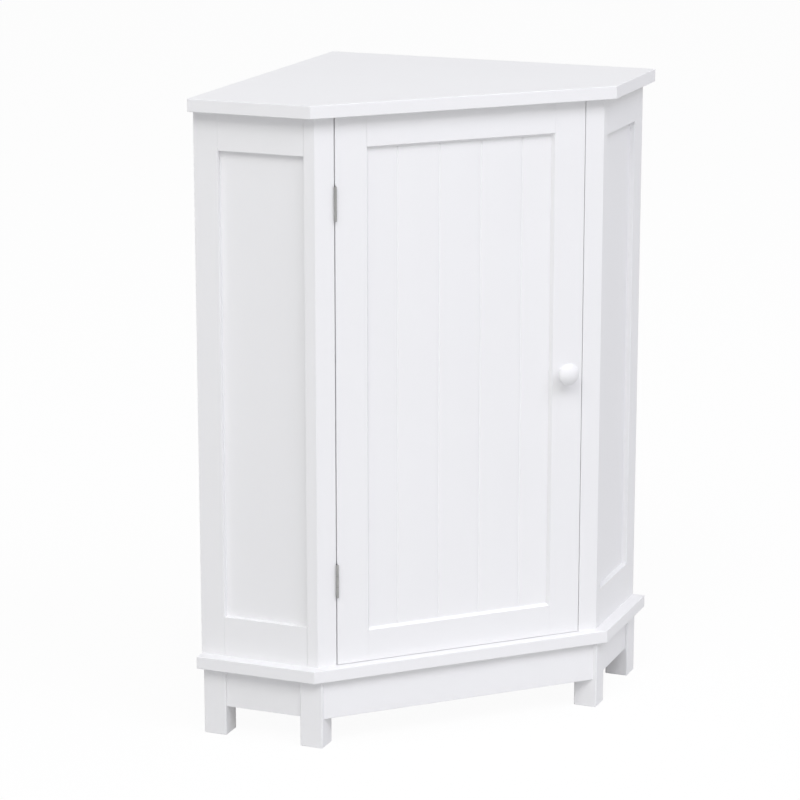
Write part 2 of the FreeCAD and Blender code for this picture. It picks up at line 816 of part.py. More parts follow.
def hinge_leaf(side, knuckles, stack):
    near = hinge_barrel_stand + hinge_leaf_clearance
    x_start = min(side * hinge_leaf_face, side * hinge_leaf_seat)
    plate = Part.makeBox(hinge_leaf_thickness, hinge_leaf_depth - hinge_leaf_clearance, stack)
    plate.translate(Vector(x_start, near, -stack / 2))
    shape = plate
    for low, high in knuckles:
        barrel = rod(hinge_barrel_radius, high - low, Vector(0, 0, low), up)
        tongue = Part.makeBox(hinge_leaf_thickness, near, high - low, Vector(x_start, 0, low))
        shape = shape.fuse([barrel, tongue])
    bore = rod(hinge_pin_radius + hinge_pin_clearance, stack + 2, Vector(0, 0, -stack / 2 - 1), up)
    return shape.cut(bore).removeSplitter()


def hinge_pin(stack):
    end = stack / 2
    cap = hinge_pin_cap_radius
    tip = end + hinge_pin_cap
    half = [(hinge_pin_radius, end), (cap, end), (hinge_pin_cap_flat, tip), (0, tip)]
    other = [(radius, -height) for radius, height in reversed(half)]
    return turned(other + half)


def hinge_mortise(z, stack):
    x = (hinge_x - hinge_leaf_seat, hinge_x + hinge_leaf_seat)
    reach = (front_reach - hinge_leaf_depth - hole_clearance, front_reach + 1)
    half = stack / 2 + hole_clearance
    return front_box(x, reach, (z - half, z + half + hinge_mortise_over))


def make_hinges():
    stack = hinge_height - 2 * hinge_pin_cap
    third = stack / 3
    inner = third / 2 - knuckle_gap / 2
    outer = third / 2 + knuckle_gap / 2
    frame_leaf = hinge_leaf(-1, [(-stack / 2, -outer), (outer, stack / 2)], stack)
    door_leaf = hinge_leaf(1, [(-inner, inner)], stack)
    screw = flat_screw(*hinge_screw)
    hole = flat_screw_hole(*hinge_screw)
    screw_reach = front_reach - hinge_screw_inset
    places = [("upper", door_top - hinge_from_door_top - hinge_height / 2)]
    places += [("lower", door_bottom + hinge_from_door_bottom + hinge_height / 2)]
    frame_screws = []
    door_screws = []
    for name, z in places:
        centre = front_point(hinge_x, hinge_reach, z)
        frame_node = name + "_hinge_frame_leaf"
        door_node = name + "_hinge_door_leaf"
        pieces[frame_node] = placed(frame_leaf, centre, up)
        pieces[door_node] = placed(door_leaf, centre, up)
        pieces[name + "_hinge_pin"] = placed(hinge_pin(stack), centre, up)
        for node in ("left_front_post", "door_left_stile"):
            drill(node, hinge_mortise(z, stack))
        for offset in (-hinge_screw_offset, hinge_screw_offset):
            frame_place = front_point(hinge_x - hinge_leaf_face, screw_reach, z + offset)
            door_place = front_point(hinge_x + hinge_leaf_face, screw_reach, z + offset)
            frame_screws.append(placed(screw, frame_place, Vector(-1, 0, 0)))
            door_screws.append(placed(screw, door_place, Vector(1, 0, 0)))
            for node in (frame_node, "left_front_post"):
                drill(node, placed(hole, frame_place, Vector(-1, 0, 0)))
            for node in (door_node, "door_left_stile"):
                drill(node, placed(hole, door_place, Vector(1, 0, 0)))
    pieces["hinge_frame_screws"] = Part.makeCompound(frame_screws)
    pieces["hinge_door_screws"] = Part.makeCompound(door_screws)


# Magnetic catch under the top panel and its strike plate on the door

def make_catch():
    strike_face = door_back - strike_thickness
    pole_end = strike_face - catch_gap
    front = pole_end - catch_pole_stand
    rear = front - catch_depth
    low = top_under - catch_height
    block_x = (catch_x - catch_block_length / 2, catch_x + catch_block_length / 2)
    ear_x = (catch_x - catch_length / 2, catch_x + catch_length / 2)
    block = front_box(block_x, (rear, front), (low, top_under))
    ear_z = (top_under - catch_ear_thickness, top_under)
    ears = front_box(ear_x, (rear + catch_ear_inset, front - catch_ear_inset), ear_z)
    magnet_x = (catch_x - magnet_length / 2, catch_x + magnet_length / 2)
    magnet_low = low + catch_wall + hole_clearance
    stack_high = magnet_low + magnet_thickness + 2 * pole_thickness
    pocket_x = (magnet_x[0] - hole_clearance, magnet_x[1] + hole_clearance)
    pocket_z = (low + catch_wall, stack_high + hole_clearance)
    pocket = front_box(pocket_x, (rear + catch_wall, front + 1), pocket_z)
    pieces["catch_housing"] = block.fuse(ears).removeSplitter().cut(pocket)

    back = rear + catch_wall + hole_clearance
    lower_pole = front_box(magnet_x, (back, pole_end), (magnet_low, magnet_low + pole_thickness))
    upper_pole = lower_pole.copy()
    upper_pole.translate(Vector(0, 0, magnet_thickness + pole_thickness))
    magnet_z = (magnet_low + pole_thickness, stack_high - pole_thickness)
    magnet = front_box(magnet_x, (back, front), magnet_z)
    pieces["catch_magnet"] = Part.makeCompound([lower_pole, magnet, upper_pole])

    strike_x = (catch_x - strike_length / 2, catch_x + strike_length / 2)
    strike_middle = (magnet_low + stack_high) / 2
    strike_z = (strike_middle - strike_height / 2, strike_middle + strike_height / 2)
    pieces["strike_plate"] = front_box(strike_x, (strike_face, door_back), strike_z)

    screw = pan_screw(catch_screw_head, *catch_screw)
    plate_screw = flat_screw(*strike_screw)
    plate_hole = flat_screw_hole(*strike_screw)
    forward = Vector(0, -1, 0)
    screws = []
    strike_screws = []
    for side in (-1, 1):
        ear = catch_x + side * (catch_length + catch_block_length) / 4
        ear_under = front_point(ear, (rear + front) / 2, top_under - catch_ear_thickness)
        screws.append(placed(screw, ear_under - Vector(0, 0, catch_screw_head), up))
        tool = rod(catch_screw[1] + hole_clearance, catch_screw[2] + hole_clearance, ear_under, up)
        drill("catch_housing", tool)
        drill("top_panel", tool)
        place = front_point(catch_x + side * strike_length / 3, strike_face, strike_middle)
        strike_screws.append(placed(plate_screw, place, forward))
        drill("strike_plate", placed(plate_hole, place, forward))
        drill("door_top_rail", placed(plate_hole, place, forward))
    pieces["catch_screws"] = Part.makeCompound(screws)
    pieces["strike_screws"] = Part.makeCompound(strike_screws)


def export_pieces():
    os.makedirs("parts", exist_ok=True)
    for node, shape in pieces.items():
        if node in holes:
            shape = shape.cut(holes[node])
        shape.exportStep("parts/" + node + ".step")


make_carcass()
make_back()
make_back_screws()
make_legs()
make_aprons()
make_leg_fasteners()
make_frame_dowels()
make_post_dowels()
make_cam_connectors()
make_shelves()
make_door()
make_knob()
make_hinges()
make_catch()
export_pieces()
box = Part.makeCompound(list(pieces.values())).optimalBoundingBox()
print("pieces", len(pieces), "width", round(box.XLength, 2), "depth", round(box.YLength, 2))
print("lowest y", round(box.YMin, 2), "highest y", round(box.YMax, 2), "height", round(box.ZLength, 2))
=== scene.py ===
import bmesh
import bpy
import json
import math
from mathutils import Matrix, Vector


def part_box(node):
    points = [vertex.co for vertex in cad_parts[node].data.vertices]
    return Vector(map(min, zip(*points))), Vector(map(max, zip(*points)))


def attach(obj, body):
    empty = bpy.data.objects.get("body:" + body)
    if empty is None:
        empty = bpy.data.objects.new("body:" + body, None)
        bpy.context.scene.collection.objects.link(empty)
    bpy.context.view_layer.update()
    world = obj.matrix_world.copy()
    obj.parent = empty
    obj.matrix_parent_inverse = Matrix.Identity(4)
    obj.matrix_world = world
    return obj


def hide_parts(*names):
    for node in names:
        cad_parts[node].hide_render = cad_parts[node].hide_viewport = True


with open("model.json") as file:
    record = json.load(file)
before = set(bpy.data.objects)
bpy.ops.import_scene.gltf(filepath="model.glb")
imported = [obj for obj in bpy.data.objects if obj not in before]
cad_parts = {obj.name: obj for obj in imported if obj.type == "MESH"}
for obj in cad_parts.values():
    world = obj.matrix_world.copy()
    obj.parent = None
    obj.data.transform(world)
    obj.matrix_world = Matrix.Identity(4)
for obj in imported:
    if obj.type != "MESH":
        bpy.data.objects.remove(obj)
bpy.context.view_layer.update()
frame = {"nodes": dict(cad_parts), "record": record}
nodes = frame["nodes"]
record = frame["record"]
print("frame loaded:", len(nodes), "nodes")

samePlace = 1e-6  # metres, points closer than this count as one


def metres(millimetres):
    return millimetres / 1000


# Materials. Colours are sRGB hex, pattern sizes are millimetres.
octaves = {"soft": 2.0, "cloudy": 3.0, "woody": 5.0, "fibrous": 8.0}  # detail of the noise patterns


def colour(hexCode):
    channels = [int(hexCode[i:i + 2], 16) / 255 for i in (1, 3, 5)]
    linear = [c / 12.92 if c <= 0.04045 else ((c + 0.055) / 1.055) ** 2.4 for c in channels]
    return (*linear, 1.0)


def perMetre(millimetres):  # texture scale that repeats a pattern at this size
    return 1000 / millimetres


def addNode(tree, kind, settings=None, inputs=None, links=None):
    node = tree.nodes.new(kind)
    for name, value in (settings or {}).items():
        setattr(node, name, value)
    for socket, value in (inputs or {}).items():
        node.inputs[socket].default_value = value
    for socket, source in (links or {}).items():
        tree.links.new(source, node.inputs[socket])
    return node


def newMaterial(name):
    material = bpy.data.materials.new(name)
    material.use_nodes = True
    material.node_tree.nodes.clear()
    return material, material.node_tree


# Satin lacquer sprayed on fibreboard: an even white with the soft ripple of a rolled primer under it
lacquer = {"white": "#F1F1F2", "shade": "#EEEEEF", "driftMm": 180, "roughness": (0.40, 0.50), "patchMm": 45,
           "ior": 1.49, "rippleMm": 2.6, "rippleHeightMm": 0.012, "rippleStrength": 0.35}


def makeLacquer(name, look):
    material, tree = newMaterial(name)
    place = addNode(tree, "ShaderNodeTexCoord").outputs["Object"]
    drift = addNode(tree, "ShaderNodeTexNoise",
                    inputs={"Scale": perMetre(look["driftMm"]), "Detail": octaves["soft"]},
                    links={"Vector": place}).outputs["Fac"]
    patch = addNode(tree, "ShaderNodeTexNoise",
                    inputs={"Scale": perMetre(look["patchMm"]), "Detail": octaves["cloudy"]},
                    links={"Vector": place}).outputs["Fac"]
    ripple = addNode(tree, "ShaderNodeTexNoise",
                     inputs={"Scale": perMetre(look["rippleMm"]), "Detail": octaves["soft"]},
                     links={"Vector": place}).outputs["Fac"]
    tone = addNode(tree, "ShaderNodeMix", {"data_type": "RGBA"},
                   {"A": colour(look["shade"]), "B": colour(look["white"])},
                   {"Factor": drift}).outputs["Result"]
    low, high = look["roughness"]
    gloss = addNode(tree, "ShaderNodeMapRange", inputs={"To Min": low, "To Max": high},
                    links={"Value": patch}).outputs["Result"]
    bump = addNode(tree, "ShaderNodeBump",
                   inputs={"Strength": look["rippleStrength"], "Distance": metres(look["rippleHeightMm"])},
                   links={"Height": ripple}).outputs["Normal"]
    shader = addNode(tree, "ShaderNodeBsdfPrincipled", inputs={"IOR": look["ior"]},
                     links={"Base Color": tone, "Roughness": gloss, "Normal": bump})
    addNode(tree, "ShaderNodeOutputMaterial", links={"Surface": shader.outputs["BSDF"]})
    return material


# Fibreboard, painted white on the side seen from inside: towards the wall it shows pressed tan fibre,
# which is drawn coarser than real fibre so that it shows
fibreboard = {"paint": "#EEEEEF", "fibre": "#C3A47B", "darkFibre": "#A5835A", "paintRough": 0.5,
              "fibreRough": 0.82, "fibreMm": 3.5, "cloudMm": 120, "cloudShare": 0.35,
              "contrast": (0.5, 0.85), "reliefMm": 0.08, "ior": 1.49}


def makeFibreboard(name, look):
    material, tree = newMaterial(name)
    place = addNode(tree, "ShaderNodeTexCoord").outputs["Object"]
    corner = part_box("left_back_panel")[0]
    middleOfBoard = abs(corner.x) + corner.y  # the board stands at 45 degrees, so |x| + y is even along it
    axes = addNode(tree, "ShaderNodeSeparateXYZ", links={0: place})
    across = addNode(tree, "ShaderNodeMath", {"operation": "ABSOLUTE"}, links={0: axes.outputs["X"]})
    total = addNode(tree, "ShaderNodeMath", {"operation": "ADD"},
                    links={0: across.outputs[0], 1: axes.outputs["Y"]})
    wallSide = addNode(tree, "ShaderNodeMath", {"operation": "GREATER_THAN"}, {1: middleOfBoard},
                       {0: total.outputs[0]}).outputs[0]
    fibre = addNode(tree, "ShaderNodeTexNoise",
                    inputs={"Scale": perMetre(look["fibreMm"]), "Detail": octaves["fibrous"]},
                    links={"Vector": place}).outputs["Fac"]
    cloud = addNode(tree, "ShaderNodeTexNoise",
                    inputs={"Scale": perMetre(look["cloudMm"]), "Detail": octaves["cloudy"]},
                    links={"Vector": place}).outputs["Fac"]
    speckle = addNode(tree, "ShaderNodeMath", {"operation": "MULTIPLY_ADD"}, {1: look["cloudShare"]},
                      {0: cloud, 2: fibre})
    low, high = look["contrast"]
    spread = addNode(tree, "ShaderNodeMapRange", inputs={"From Min": low, "From Max": high},
                     links={"Value": speckle.outputs[0]}).outputs["Result"]
    brown = addNode(tree, "ShaderNodeMix", {"data_type": "RGBA"},
                    {"A": colour(look["darkFibre"]), "B": colour(look["fibre"])}, {"Factor": spread})
    tone = addNode(tree, "ShaderNodeMix", {"data_type": "RGBA"}, {"A": colour(look["paint"])},
                   {"Factor": wallSide, "B": brown.outputs["Result"]}).outputs["Result"]
    rough = addNode(tree, "ShaderNodeMapRange",
                    inputs={"To Min": look["paintRough"], "To Max": look["fibreRough"]},
                    links={"Value": wallSide}).outputs["Result"]
    bump = addNode(tree, "ShaderNodeBump", inputs={"Distance": metres(look["reliefMm"])},
                   links={"Height": fibre, "Strength": wallSide}).outputs["Normal"]
    shader = addNode(tree, "ShaderNodeBsdfPrincipled", inputs={"IOR": look["ior"]},
                     links={"Base Color": tone, "Roughness": rough, "Normal": bump})
    addNode(tree, "ShaderNodeOutputMaterial", links={"Surface": shader.outputs["BSDF"]})
    return material


# Sawn pine: straw yellow with darker late-wood lines along the piece and a dry sawn face
pine = {"pale": "#E6CDA2", "dark": "#C79B62", "roughness": 0.68, "ior": 1.5, "grainMm": 3.2, "waver": 0.4,
        "stretch": (1.0, 1.0, 0.06), "contrast": (0.35, 0.7), "reliefMm": 0.05, "reliefStrength": 0.6}
# Turned beech: pinkish tan with small soft flecks, alike in all directions since dowels lie many ways
beech = {"pale": "#DFBE97", "dark": "#C4996C", "roughness": 0.55, "ior": 1.5, "grainMm": 1.4, "waver": 0.4,
         "stretch": (0.3, 0.3, 0.3), "contrast": (0.4, 0.65), "reliefMm": 0.02, "reliefStrength": 0.6}


def makeWood(name, look):
    material, tree = newMaterial(name)
    place = addNode(tree, "ShaderNodeTexCoord").outputs["Object"]
    along = addNode(tree, "ShaderNodeMapping", inputs={"Scale": look["stretch"]}, links={"Vector": place})
    grain = addNode(tree, "ShaderNodeTexNoise",
                    inputs={"Scale": perMetre(look["grainMm"]), "Detail": octaves["woody"],
                            "Distortion": look["waver"]},
                    links={"Vector": along.outputs["Vector"]}).outputs["Fac"]
    low, high = look["contrast"]
    lines = addNode(tree, "ShaderNodeMapRange", inputs={"From Min": low, "From Max": high},
                    links={"Value": grain}).outputs["Result"]
    tone = addNode(tree, "ShaderNodeMix", {"data_type": "RGBA"},
                   {"A": colour(look["pale"]), "B": colour(look["dark"])},
                   {"Factor": lines}).outputs["Result"]
    bump = addNode(tree, "ShaderNodeBump",
                   inputs={"Strength": look["reliefStrength"], "Distance": metres(look["reliefMm"])},
                   links={"Height": grain}).outputs["Normal"]
    shader = addNode(tree, "ShaderNodeBsdfPrincipled",
                     inputs={"IOR": look["ior"], "Roughness": look["roughness"]},
                     links={"Base Color": tone, "Normal": bump})
    addNode(tree, "ShaderNodeOutputMaterial", links={"Surface": shader.outputs["BSDF"]})
    return material


# Zinc-plated steel: bright blue-grey with the faint cloud of the passivation bath
zincPlate = {"pale": "#C6C9CC", "dark": "#AEB4BA", "roughness": (0.26, 0.36), "cloudMm": 6.0,
             "grainMm": 0.5, "stretch": (1, 1, 1)}
# Die-cast zinc: dull grey with the slightly uneven skin of the mould
castZinc = {"pale": "#A9ABAD", "dark": "#96989A", "roughness": (0.42, 0.55), "cloudMm": 4.0,
            "grainMm": 0.6, "stretch": (1, 1, 1)}
# Satin nickel on steel sheet: mid grey, with the fine lines of upright brushing in its shine
satinNickel = {"pale": "#B0B0AF", "dark": "#9C9C9B", "roughness": (0.28, 0.42), "cloudMm": 9.0,
               "grainMm": 0.35, "stretch": (1, 1, 0.04)}


def makeMetal(name, look):
    material, tree = newMaterial(name)
    place = addNode(tree, "ShaderNodeTexCoord").outputs["Object"]
    drawn = addNode(tree, "ShaderNodeMapping", inputs={"Scale": look["stretch"]}, links={"Vector": place})
    cloud = addNode(tree, "ShaderNodeTexNoise",
                    inputs={"Scale": perMetre(look["cloudMm"]), "Detail": octaves["cloudy"]},
                    links={"Vector": place}).outputs["Fac"]
    grain = addNode(tree, "ShaderNodeTexNoise",
                    inputs={"Scale": perMetre(look["grainMm"]), "Detail": octaves["cloudy"]},
                    links={"Vector": drawn.outputs["Vector"]}).outputs["Fac"]
    tone = addNode(tree, "ShaderNodeMix", {"data_type": "RGBA"},
                   {"A": colour(look["dark"]), "B": colour(look["pale"])},
                   {"Factor": cloud}).outputs["Result"]
    low, high = look["roughness"]
    rough = addNode(tree, "ShaderNodeMapRange", inputs={"To Min": low, "To Max": high},
                    links={"Value": grain}).outputs["Result"]
    shader = addNode(tree, "ShaderNodeBsdfPrincipled", inputs={"Metallic": 1.0},
                     links={"Base Color": tone, "Roughness": rough})
    addNode(tree, "ShaderNodeOutputMaterial", links={"Surface": shader.outputs["BSDF"]})
    return material


# Moulded ABS: clean milky white with the fine spark-eroded grain of its mould
mouldedAbs = {"white": "#EDEDEB", "roughness": 0.38, "ior": 1.53, "grainMm": 0.8, "grainHeightMm": 0.01,
              "grainStrength": 0.5}


def makePlastic(name, look):
    material, tree = newMaterial(name)
    place = addNode(tree, "ShaderNodeTexCoord").outputs["Object"]
    grain = addNode(tree, "ShaderNodeTexNoise",
                    inputs={"Scale": perMetre(look["grainMm"]), "Detail": octaves["cloudy"]},
                    links={"Vector": place}).outputs["Fac"]
    bump = addNode(tree, "ShaderNodeBump",
                   inputs={"Strength": look["grainStrength"], "Distance": metres(look["grainHeightMm"])},
                   links={"Height": grain}).outputs["Normal"]
    shader = addNode(tree, "ShaderNodeBsdfPrincipled",
                     inputs={"Base Color": colour(look["white"]), "Roughness": look["roughness"],
                             "IOR": look["ior"]},
                     links={"Normal": bump})
    addNode(tree, "ShaderNodeOutputMaterial", links={"Surface": shader.outputs["BSDF"]})
    return material


# Pressed ferrite between two steel pole plates: a matt charcoal bar with a bright plate above and below it
ferrite = {"black": "#3A3A3C", "steel": "#B4B6B8", "ferriteRough": 0.6, "steelRough": 0.32, "barMm": 3.6}


def makeMagnet(name, look):
    material, tree = newMaterial(name)
    place = addNode(tree, "ShaderNodeTexCoord").outputs["Object"]
    low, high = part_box("catch_magnet")
    middle = (low.z + high.z) / 2
    height = addNode(tree, "ShaderNodeSeparateXYZ", links={0: place}).outputs["Z"]
    away = addNode(tree, "ShaderNodeMath", {"operation": "SUBTRACT"}, {1: middle}, {0: height})
    apart = addNode(tree, "ShaderNodeMath", {"operation": "ABSOLUTE"}, links={0: away.outputs[0]})
    plate = addNode(tree, "ShaderNodeMath", {"operation": "GREATER_THAN"}, {1: metres(look["barMm"]) / 2},
                    {0: apart.outputs[0]}).outputs[0]
    tone = addNode(tree, "ShaderNodeMix", {"data_type": "RGBA"},
                   {"A": colour(look["black"]), "B": colour(look["steel"])},
                   {"Factor": plate}).outputs["Result"]
    rough = addNode(tree, "ShaderNodeMapRange",
                    inputs={"To Min": look["ferriteRough"], "To Max": look["steelRough"]},
                    links={"Value": plate}).outputs["Result"]
    shader = addNode(tree, "ShaderNodeBsdfPrincipled",
                     links={"Base Color": tone, "Roughness": rough, "Metallic": plate})
    addNode(tree, "ShaderNodeOutputMaterial", links={"Surface": shader.outputs["BSDF"]})
    return material


materials = {"white_lacquer": makeLacquer("whiteSatinLacquer", lacquer),
             "back_board": makeFibreboard("paintedFibreboard", fibreboard),
             "pine_block": makeWood("sawnPine", pine),
             "beech_dowel": makeWood("turnedBeech", beech),
             "zinc_steel": makeMetal("zincPlatedSteel", zincPlate),
             "die_cast_zinc": makeMetal("dieCastZinc", castZinc),
             "nickel_steel": makeMetal("satinNickelSteel", satinNickel),
             "white_plastic": makePlastic("mouldedWhiteAbs", mouldedAbs),
             "magnet_ferrite": makeMagnet("ferriteAndPolePlates", ferrite)}
for sub in record["subparts"]:
    nodes[sub["node"]].data.materials[0] = materials[sub["material_slot"]]
print("materials made:", len(materials))

# Pieces made here in place of their plainer CAD nodes


def finishPiece(bm, name, body, slotName, *replaced, sharpDegrees=35):
    bmesh.ops.recalc_face_normals(bm, faces=bm.faces[:])
    mesh = bpy.data.meshes.new(name)
    bm.to_mesh(mesh)
    bm.free()
    mesh.shade_smooth()
    mesh.set_sharp_from_angle(angle=math.radians(sharpDegrees))
    mesh.materials.append(materials[slotName])
    piece = bpy.data.objects.new(name, mesh)
    bpy.context.scene.collection.objects.link(piece)
    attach(piece, body)
    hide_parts(*replaced)
    return piece


def roundEdges(bm, edges, roundMm, segments=3):
    bmesh.ops.bevel(bm, geom=edges, offset=metres(roundMm), segments=segments, profile=0.5,
                    affect="EDGES", material=-1)


# Beaded door panel: one sheet with four shallow grooves whose rims are softened by the paint
beading = {"grooves": 4, "pitchMm": 55.0, "widthMm": 3.0, "depthMm": 1.2, "rimMm": 0.6,
           "foldRadians": (0.1, 1.4)}  # sharper than the flat sheet, blunter than its square edges


def makeDoorPanel(look):
    bm = bmesh.new()
    low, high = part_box("door_panel")
    bmesh.ops.create_cube(bm, size=1.0, matrix=Matrix.LocRotScale((low + high) / 2, None, high - low))
    middle = (low.x + high.x) / 2
    half = metres(look["widthMm"]) / 2
    for number in range(look["grooves"]):
        x = middle + (number - (look["grooves"] - 1) / 2) * metres(look["pitchMm"])
        for cut in (x - half, x, x + half):
            bmesh.ops.bisect_plane(bm, geom=bm.verts[:] + bm.edges[:] + bm.faces[:],
                                   plane_co=(cut, 0, 0), plane_no=(1, 0, 0))
        valley = [v for v in bm.verts
                  if abs(v.co.x - x) < samePlace and abs(v.co.y - low.y) < samePlace]
        bmesh.ops.translate(bm, verts=valley, vec=(0, metres(look["depthMm"]), 0))
    flat, square = look["foldRadians"]
    folds = [e for e in bm.edges if len(e.link_faces) == 2 and flat < e.calc_face_angle() < square]
    upright = [e for e in folds if abs(e.verts[0].co.x - e.verts[1].co.x) < samePlace]
    roundEdges(bm, upright, look["rimMm"])
    finishPiece(bm, "beadedDoorPanel", "door", "white_lacquer", "door_panel")


# Turned knob: a waisted neck, a hollow cove and a cap that is domed in front
# Pairs are radius and height, footMm is a radius and rimMm the height of the widest place
knob = {"footMm": 7.0, "neckMm": (6.2, 4.0), "collarMm": (8.0, 9.0), "coveMm": (9.8, 11.1), "rimMm": 13.8,
        "rimInsetMm": 0.5, "rimUnderMm": 1.2, "rimOverMm": 1.4, "steps": 10, "turns": 72,
        "sharpDegrees": 50}


def arcTo(bm, start, middle, end, steps):  # carries a profile in the XZ plane through middle to end
    a, b, c = (Vector((p[0], p[2])) for p in (start.co, middle, end))
    ab, ac = b - a, c - a
    turn = 2 * ab.cross(ac)
    centre = a + Vector((ac.y * ab.length_squared - ab.y * ac.length_squared,
                         ab.x * ac.length_squared - ac.x * ab.length_squared)) / turn
    angle = (a - centre).angle_signed(c - centre)  # clockwise is plus, as spin about +Y is in XZ
    if angle * turn > 0:
        angle -= math.copysign(2 * math.pi, angle)
    made = bmesh.ops.spin(bm, geom=[start], cent=(centre.x, 0, centre.y), axis=(0, 1, 0), angle=angle,
                          steps=steps)
    return made["geom_last"][0]


def makeKnob(look):
    bm = bmesh.new()
    low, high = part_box("door_knob")
    capRadius = (high.x - low.x) / 2
    tip = high.y - low.y
    rim = metres(look["rimMm"])
    edgeRadius = capRadius - metres(look["rimInsetMm"])
    under = (edgeRadius, 0, rim - metres(look["rimUnderMm"]))
    over = (edgeRadius, 0, rim + metres(look["rimOverMm"]))
    neck, collar, cove = ((metres(r), 0, metres(z))
                          for r, z in (look["neckMm"], look["collarMm"], look["coveMm"]))
    domeCentre = (tip ** 2 - over[0] ** 2 - over[2] ** 2) / (2 * (tip - over[2]))
    domeRadius = tip - domeCentre
    half = math.asin(over[0] / domeRadius) / 2
    crown = (domeRadius * math.sin(half), 0, domeCentre + domeRadius * math.cos(half))
    foot = bm.verts.new((metres(look["footMm"]), 0, 0))
    floor = bm.verts.new((0, 0, 0))
    bm.edges.new((floor, foot))
    last = arcTo(bm, foot, neck, collar, look["steps"])
    last = arcTo(bm, last, cove, under, look["steps"])
    last = arcTo(bm, last, (capRadius, 0, rim), over, look["steps"])
    arcTo(bm, last, crown, (0, 0, tip), look["steps"])
    bmesh.ops.spin(bm, geom=bm.verts[:] + bm.edges[:], cent=(0, 0, 0), axis=(0, 0, 1), angle=2 * math.pi,
                   steps=look["turns"], use_merge=True)
    bmesh.ops.remove_doubles(bm, verts=bm.verts[:], dist=samePlace)
    seat = Vector(((low.x + high.x) / 2, high.y, (low.z + high.z) / 2))
    bmesh.ops.transform(bm, matrix=Matrix.Translation(seat) @ Matrix.Rotation(math.pi / 2, 4, "X"),
                        verts=bm.verts[:])
    finishPiece(bm, "turnedKnob", "door", "white_lacquer", "door_knob", sharpDegrees=look["sharpDegrees"])


# Butt hinge: each leaf is one sheet rolled into its knuckles round the pin
# barrelMm, pinMm and capFlatMm are radii, and capMm is the height of the pin's cap
hinge = {"barrelMm": 1.75, "sheetMm": 0.72, "seatMm": 1.0, "frontMm": 2.6, "depthMm": 15.2, "capMm": 0.8,
         "knuckleGapMm": 0.5, "openDegrees": 10, "rollSteps": 28, "edgeMm": 0.2, "edgeSegments": 2,
         "edgeDegrees": 50, "pinMm": 1.0, "capRadiusMm": 1.55, "capFlatMm": 0.9, "capRoundMm": 0.3,
         "turns": 40}


def makeHingeLeaf(look, which, part, side, body):
    bm = bmesh.new()
    low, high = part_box(which + "_hinge_pin")
    axis = Vector(((low.x + high.x) / 2, (low.y + high.y) / 2, 0))
    bottom = low.z + metres(look["capMm"])
    top = high.z - metres(look["capMm"])
    third = (top - bottom) / 3
    gap = metres(look["knuckleGapMm"]) / 2 * (1 if part == "frame" else -1)
    levels = (bottom, bottom + third - gap, top - third + gap, top)
    rolled = (0, 2) if part == "frame" else (1,)  # the middle one of three knuckles is the door's
    radius = metres(look["barrelMm"] - look["sheetMm"] / 2)
    across = side * metres(look["seatMm"] - look["sheetMm"] / 2)
    meets = math.sqrt(radius ** 2 - across ** 2)
    chain = [bm.verts.new((axis.x + across, axis.y + metres(look["depthMm"]), z)) for z in levels]
    ends = [bm.edges.new(pair) for pair in zip(chain, chain[1:])]
    made = bmesh.ops.extrude_edge_only(bm, edges=ends)["geom"]
    fronts = [g for g in made if isinstance(g, bmesh.types.BMVert)]
    bmesh.ops.translate(bm, verts=fronts, vec=(0, metres(look["frontMm"] - look["depthMm"]), 0))
    frontEdges = [e for e in bm.edges if all(v in fronts for v in e.verts)]
    frontEdges.sort(key=lambda e: e.verts[0].co.z + e.verts[1].co.z)
    leave = math.asin(abs(across) / radius)
    angle = -side * (2 * math.pi - leave - math.radians(look["openDegrees"]))
    for number in rolled:  # only the knuckles reach forward to the pin
        grown = bmesh.ops.extrude_edge_only(bm, edges=[frontEdges[number]])["geom"]
        tongue = [g for g in grown if isinstance(g, bmesh.types.BMVert)]
        bmesh.ops.translate(bm, verts=tongue, vec=(0, meets - metres(look["frontMm"]), 0))
        lip = next(e for e in tongue[0].link_edges if e.other_vert(tongue[0]) in tongue)
        bmesh.ops.spin(bm, geom=[*tongue, lip], cent=axis, axis=(0, 0, 1), angle=angle,
                       steps=look["rollSteps"])
    piece = finishPiece(bm, which + part.capitalize() + "HingeLeaf", body, "nickel_steel",
                        which + "_hinge_" + part + "_leaf")
    sheet = piece.modifiers.new("sheetThickness", "SOLIDIFY")
    sheet.thickness = metres(look["sheetMm"])
    sheet.offset = 0
    edges = piece.modifiers.new("brokenEdges", "BEVEL")
    edges.width = metres(look["edgeMm"])
    edges.segments = look["edgeSegments"]
    edges.limit_method = "ANGLE"
    edges.angle_limit = math.radians(look["edgeDegrees"])


def makeHingePin(look, which):
    bm = bmesh.new()
    low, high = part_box(which + "_hinge_pin")
    centre = (low + high) / 2
    tip = (high.z - low.z) / 2
    end = tip - metres(look["capMm"])
    flat = metres(look["capFlatMm"])
    half = [(metres(look["pinMm"]), end), (metres(look["capRadiusMm"]), end), (flat, tip), (0, tip)]
    profile = [(r, -z) for r, z in reversed(half)] + half
    verts = [bm.verts.new((r, 0, z)) for r, z in profile]
    for pair in zip(verts, verts[1:]):
        bm.edges.new(pair)
    bmesh.ops.spin(bm, geom=bm.verts[:] + bm.edges[:], cent=(0, 0, 0), axis=(0, 0, 1), angle=2 * math.pi,
                   steps=look["turns"], use_merge=True)
    bmesh.ops.remove_doubles(bm, verts=bm.verts[:], dist=samePlace)
    rims = [e for e in bm.edges if all(abs(v.co.xy.length - flat) < samePlace for v in e.verts)]
    roundEdges(bm, rims, look["capRoundMm"])
    bmesh.ops.translate(bm, verts=bm.verts[:], vec=centre)
    finishPiece(bm, which + "HingePin", "cabinet", "nickel_steel", which + "_hinge_pin")


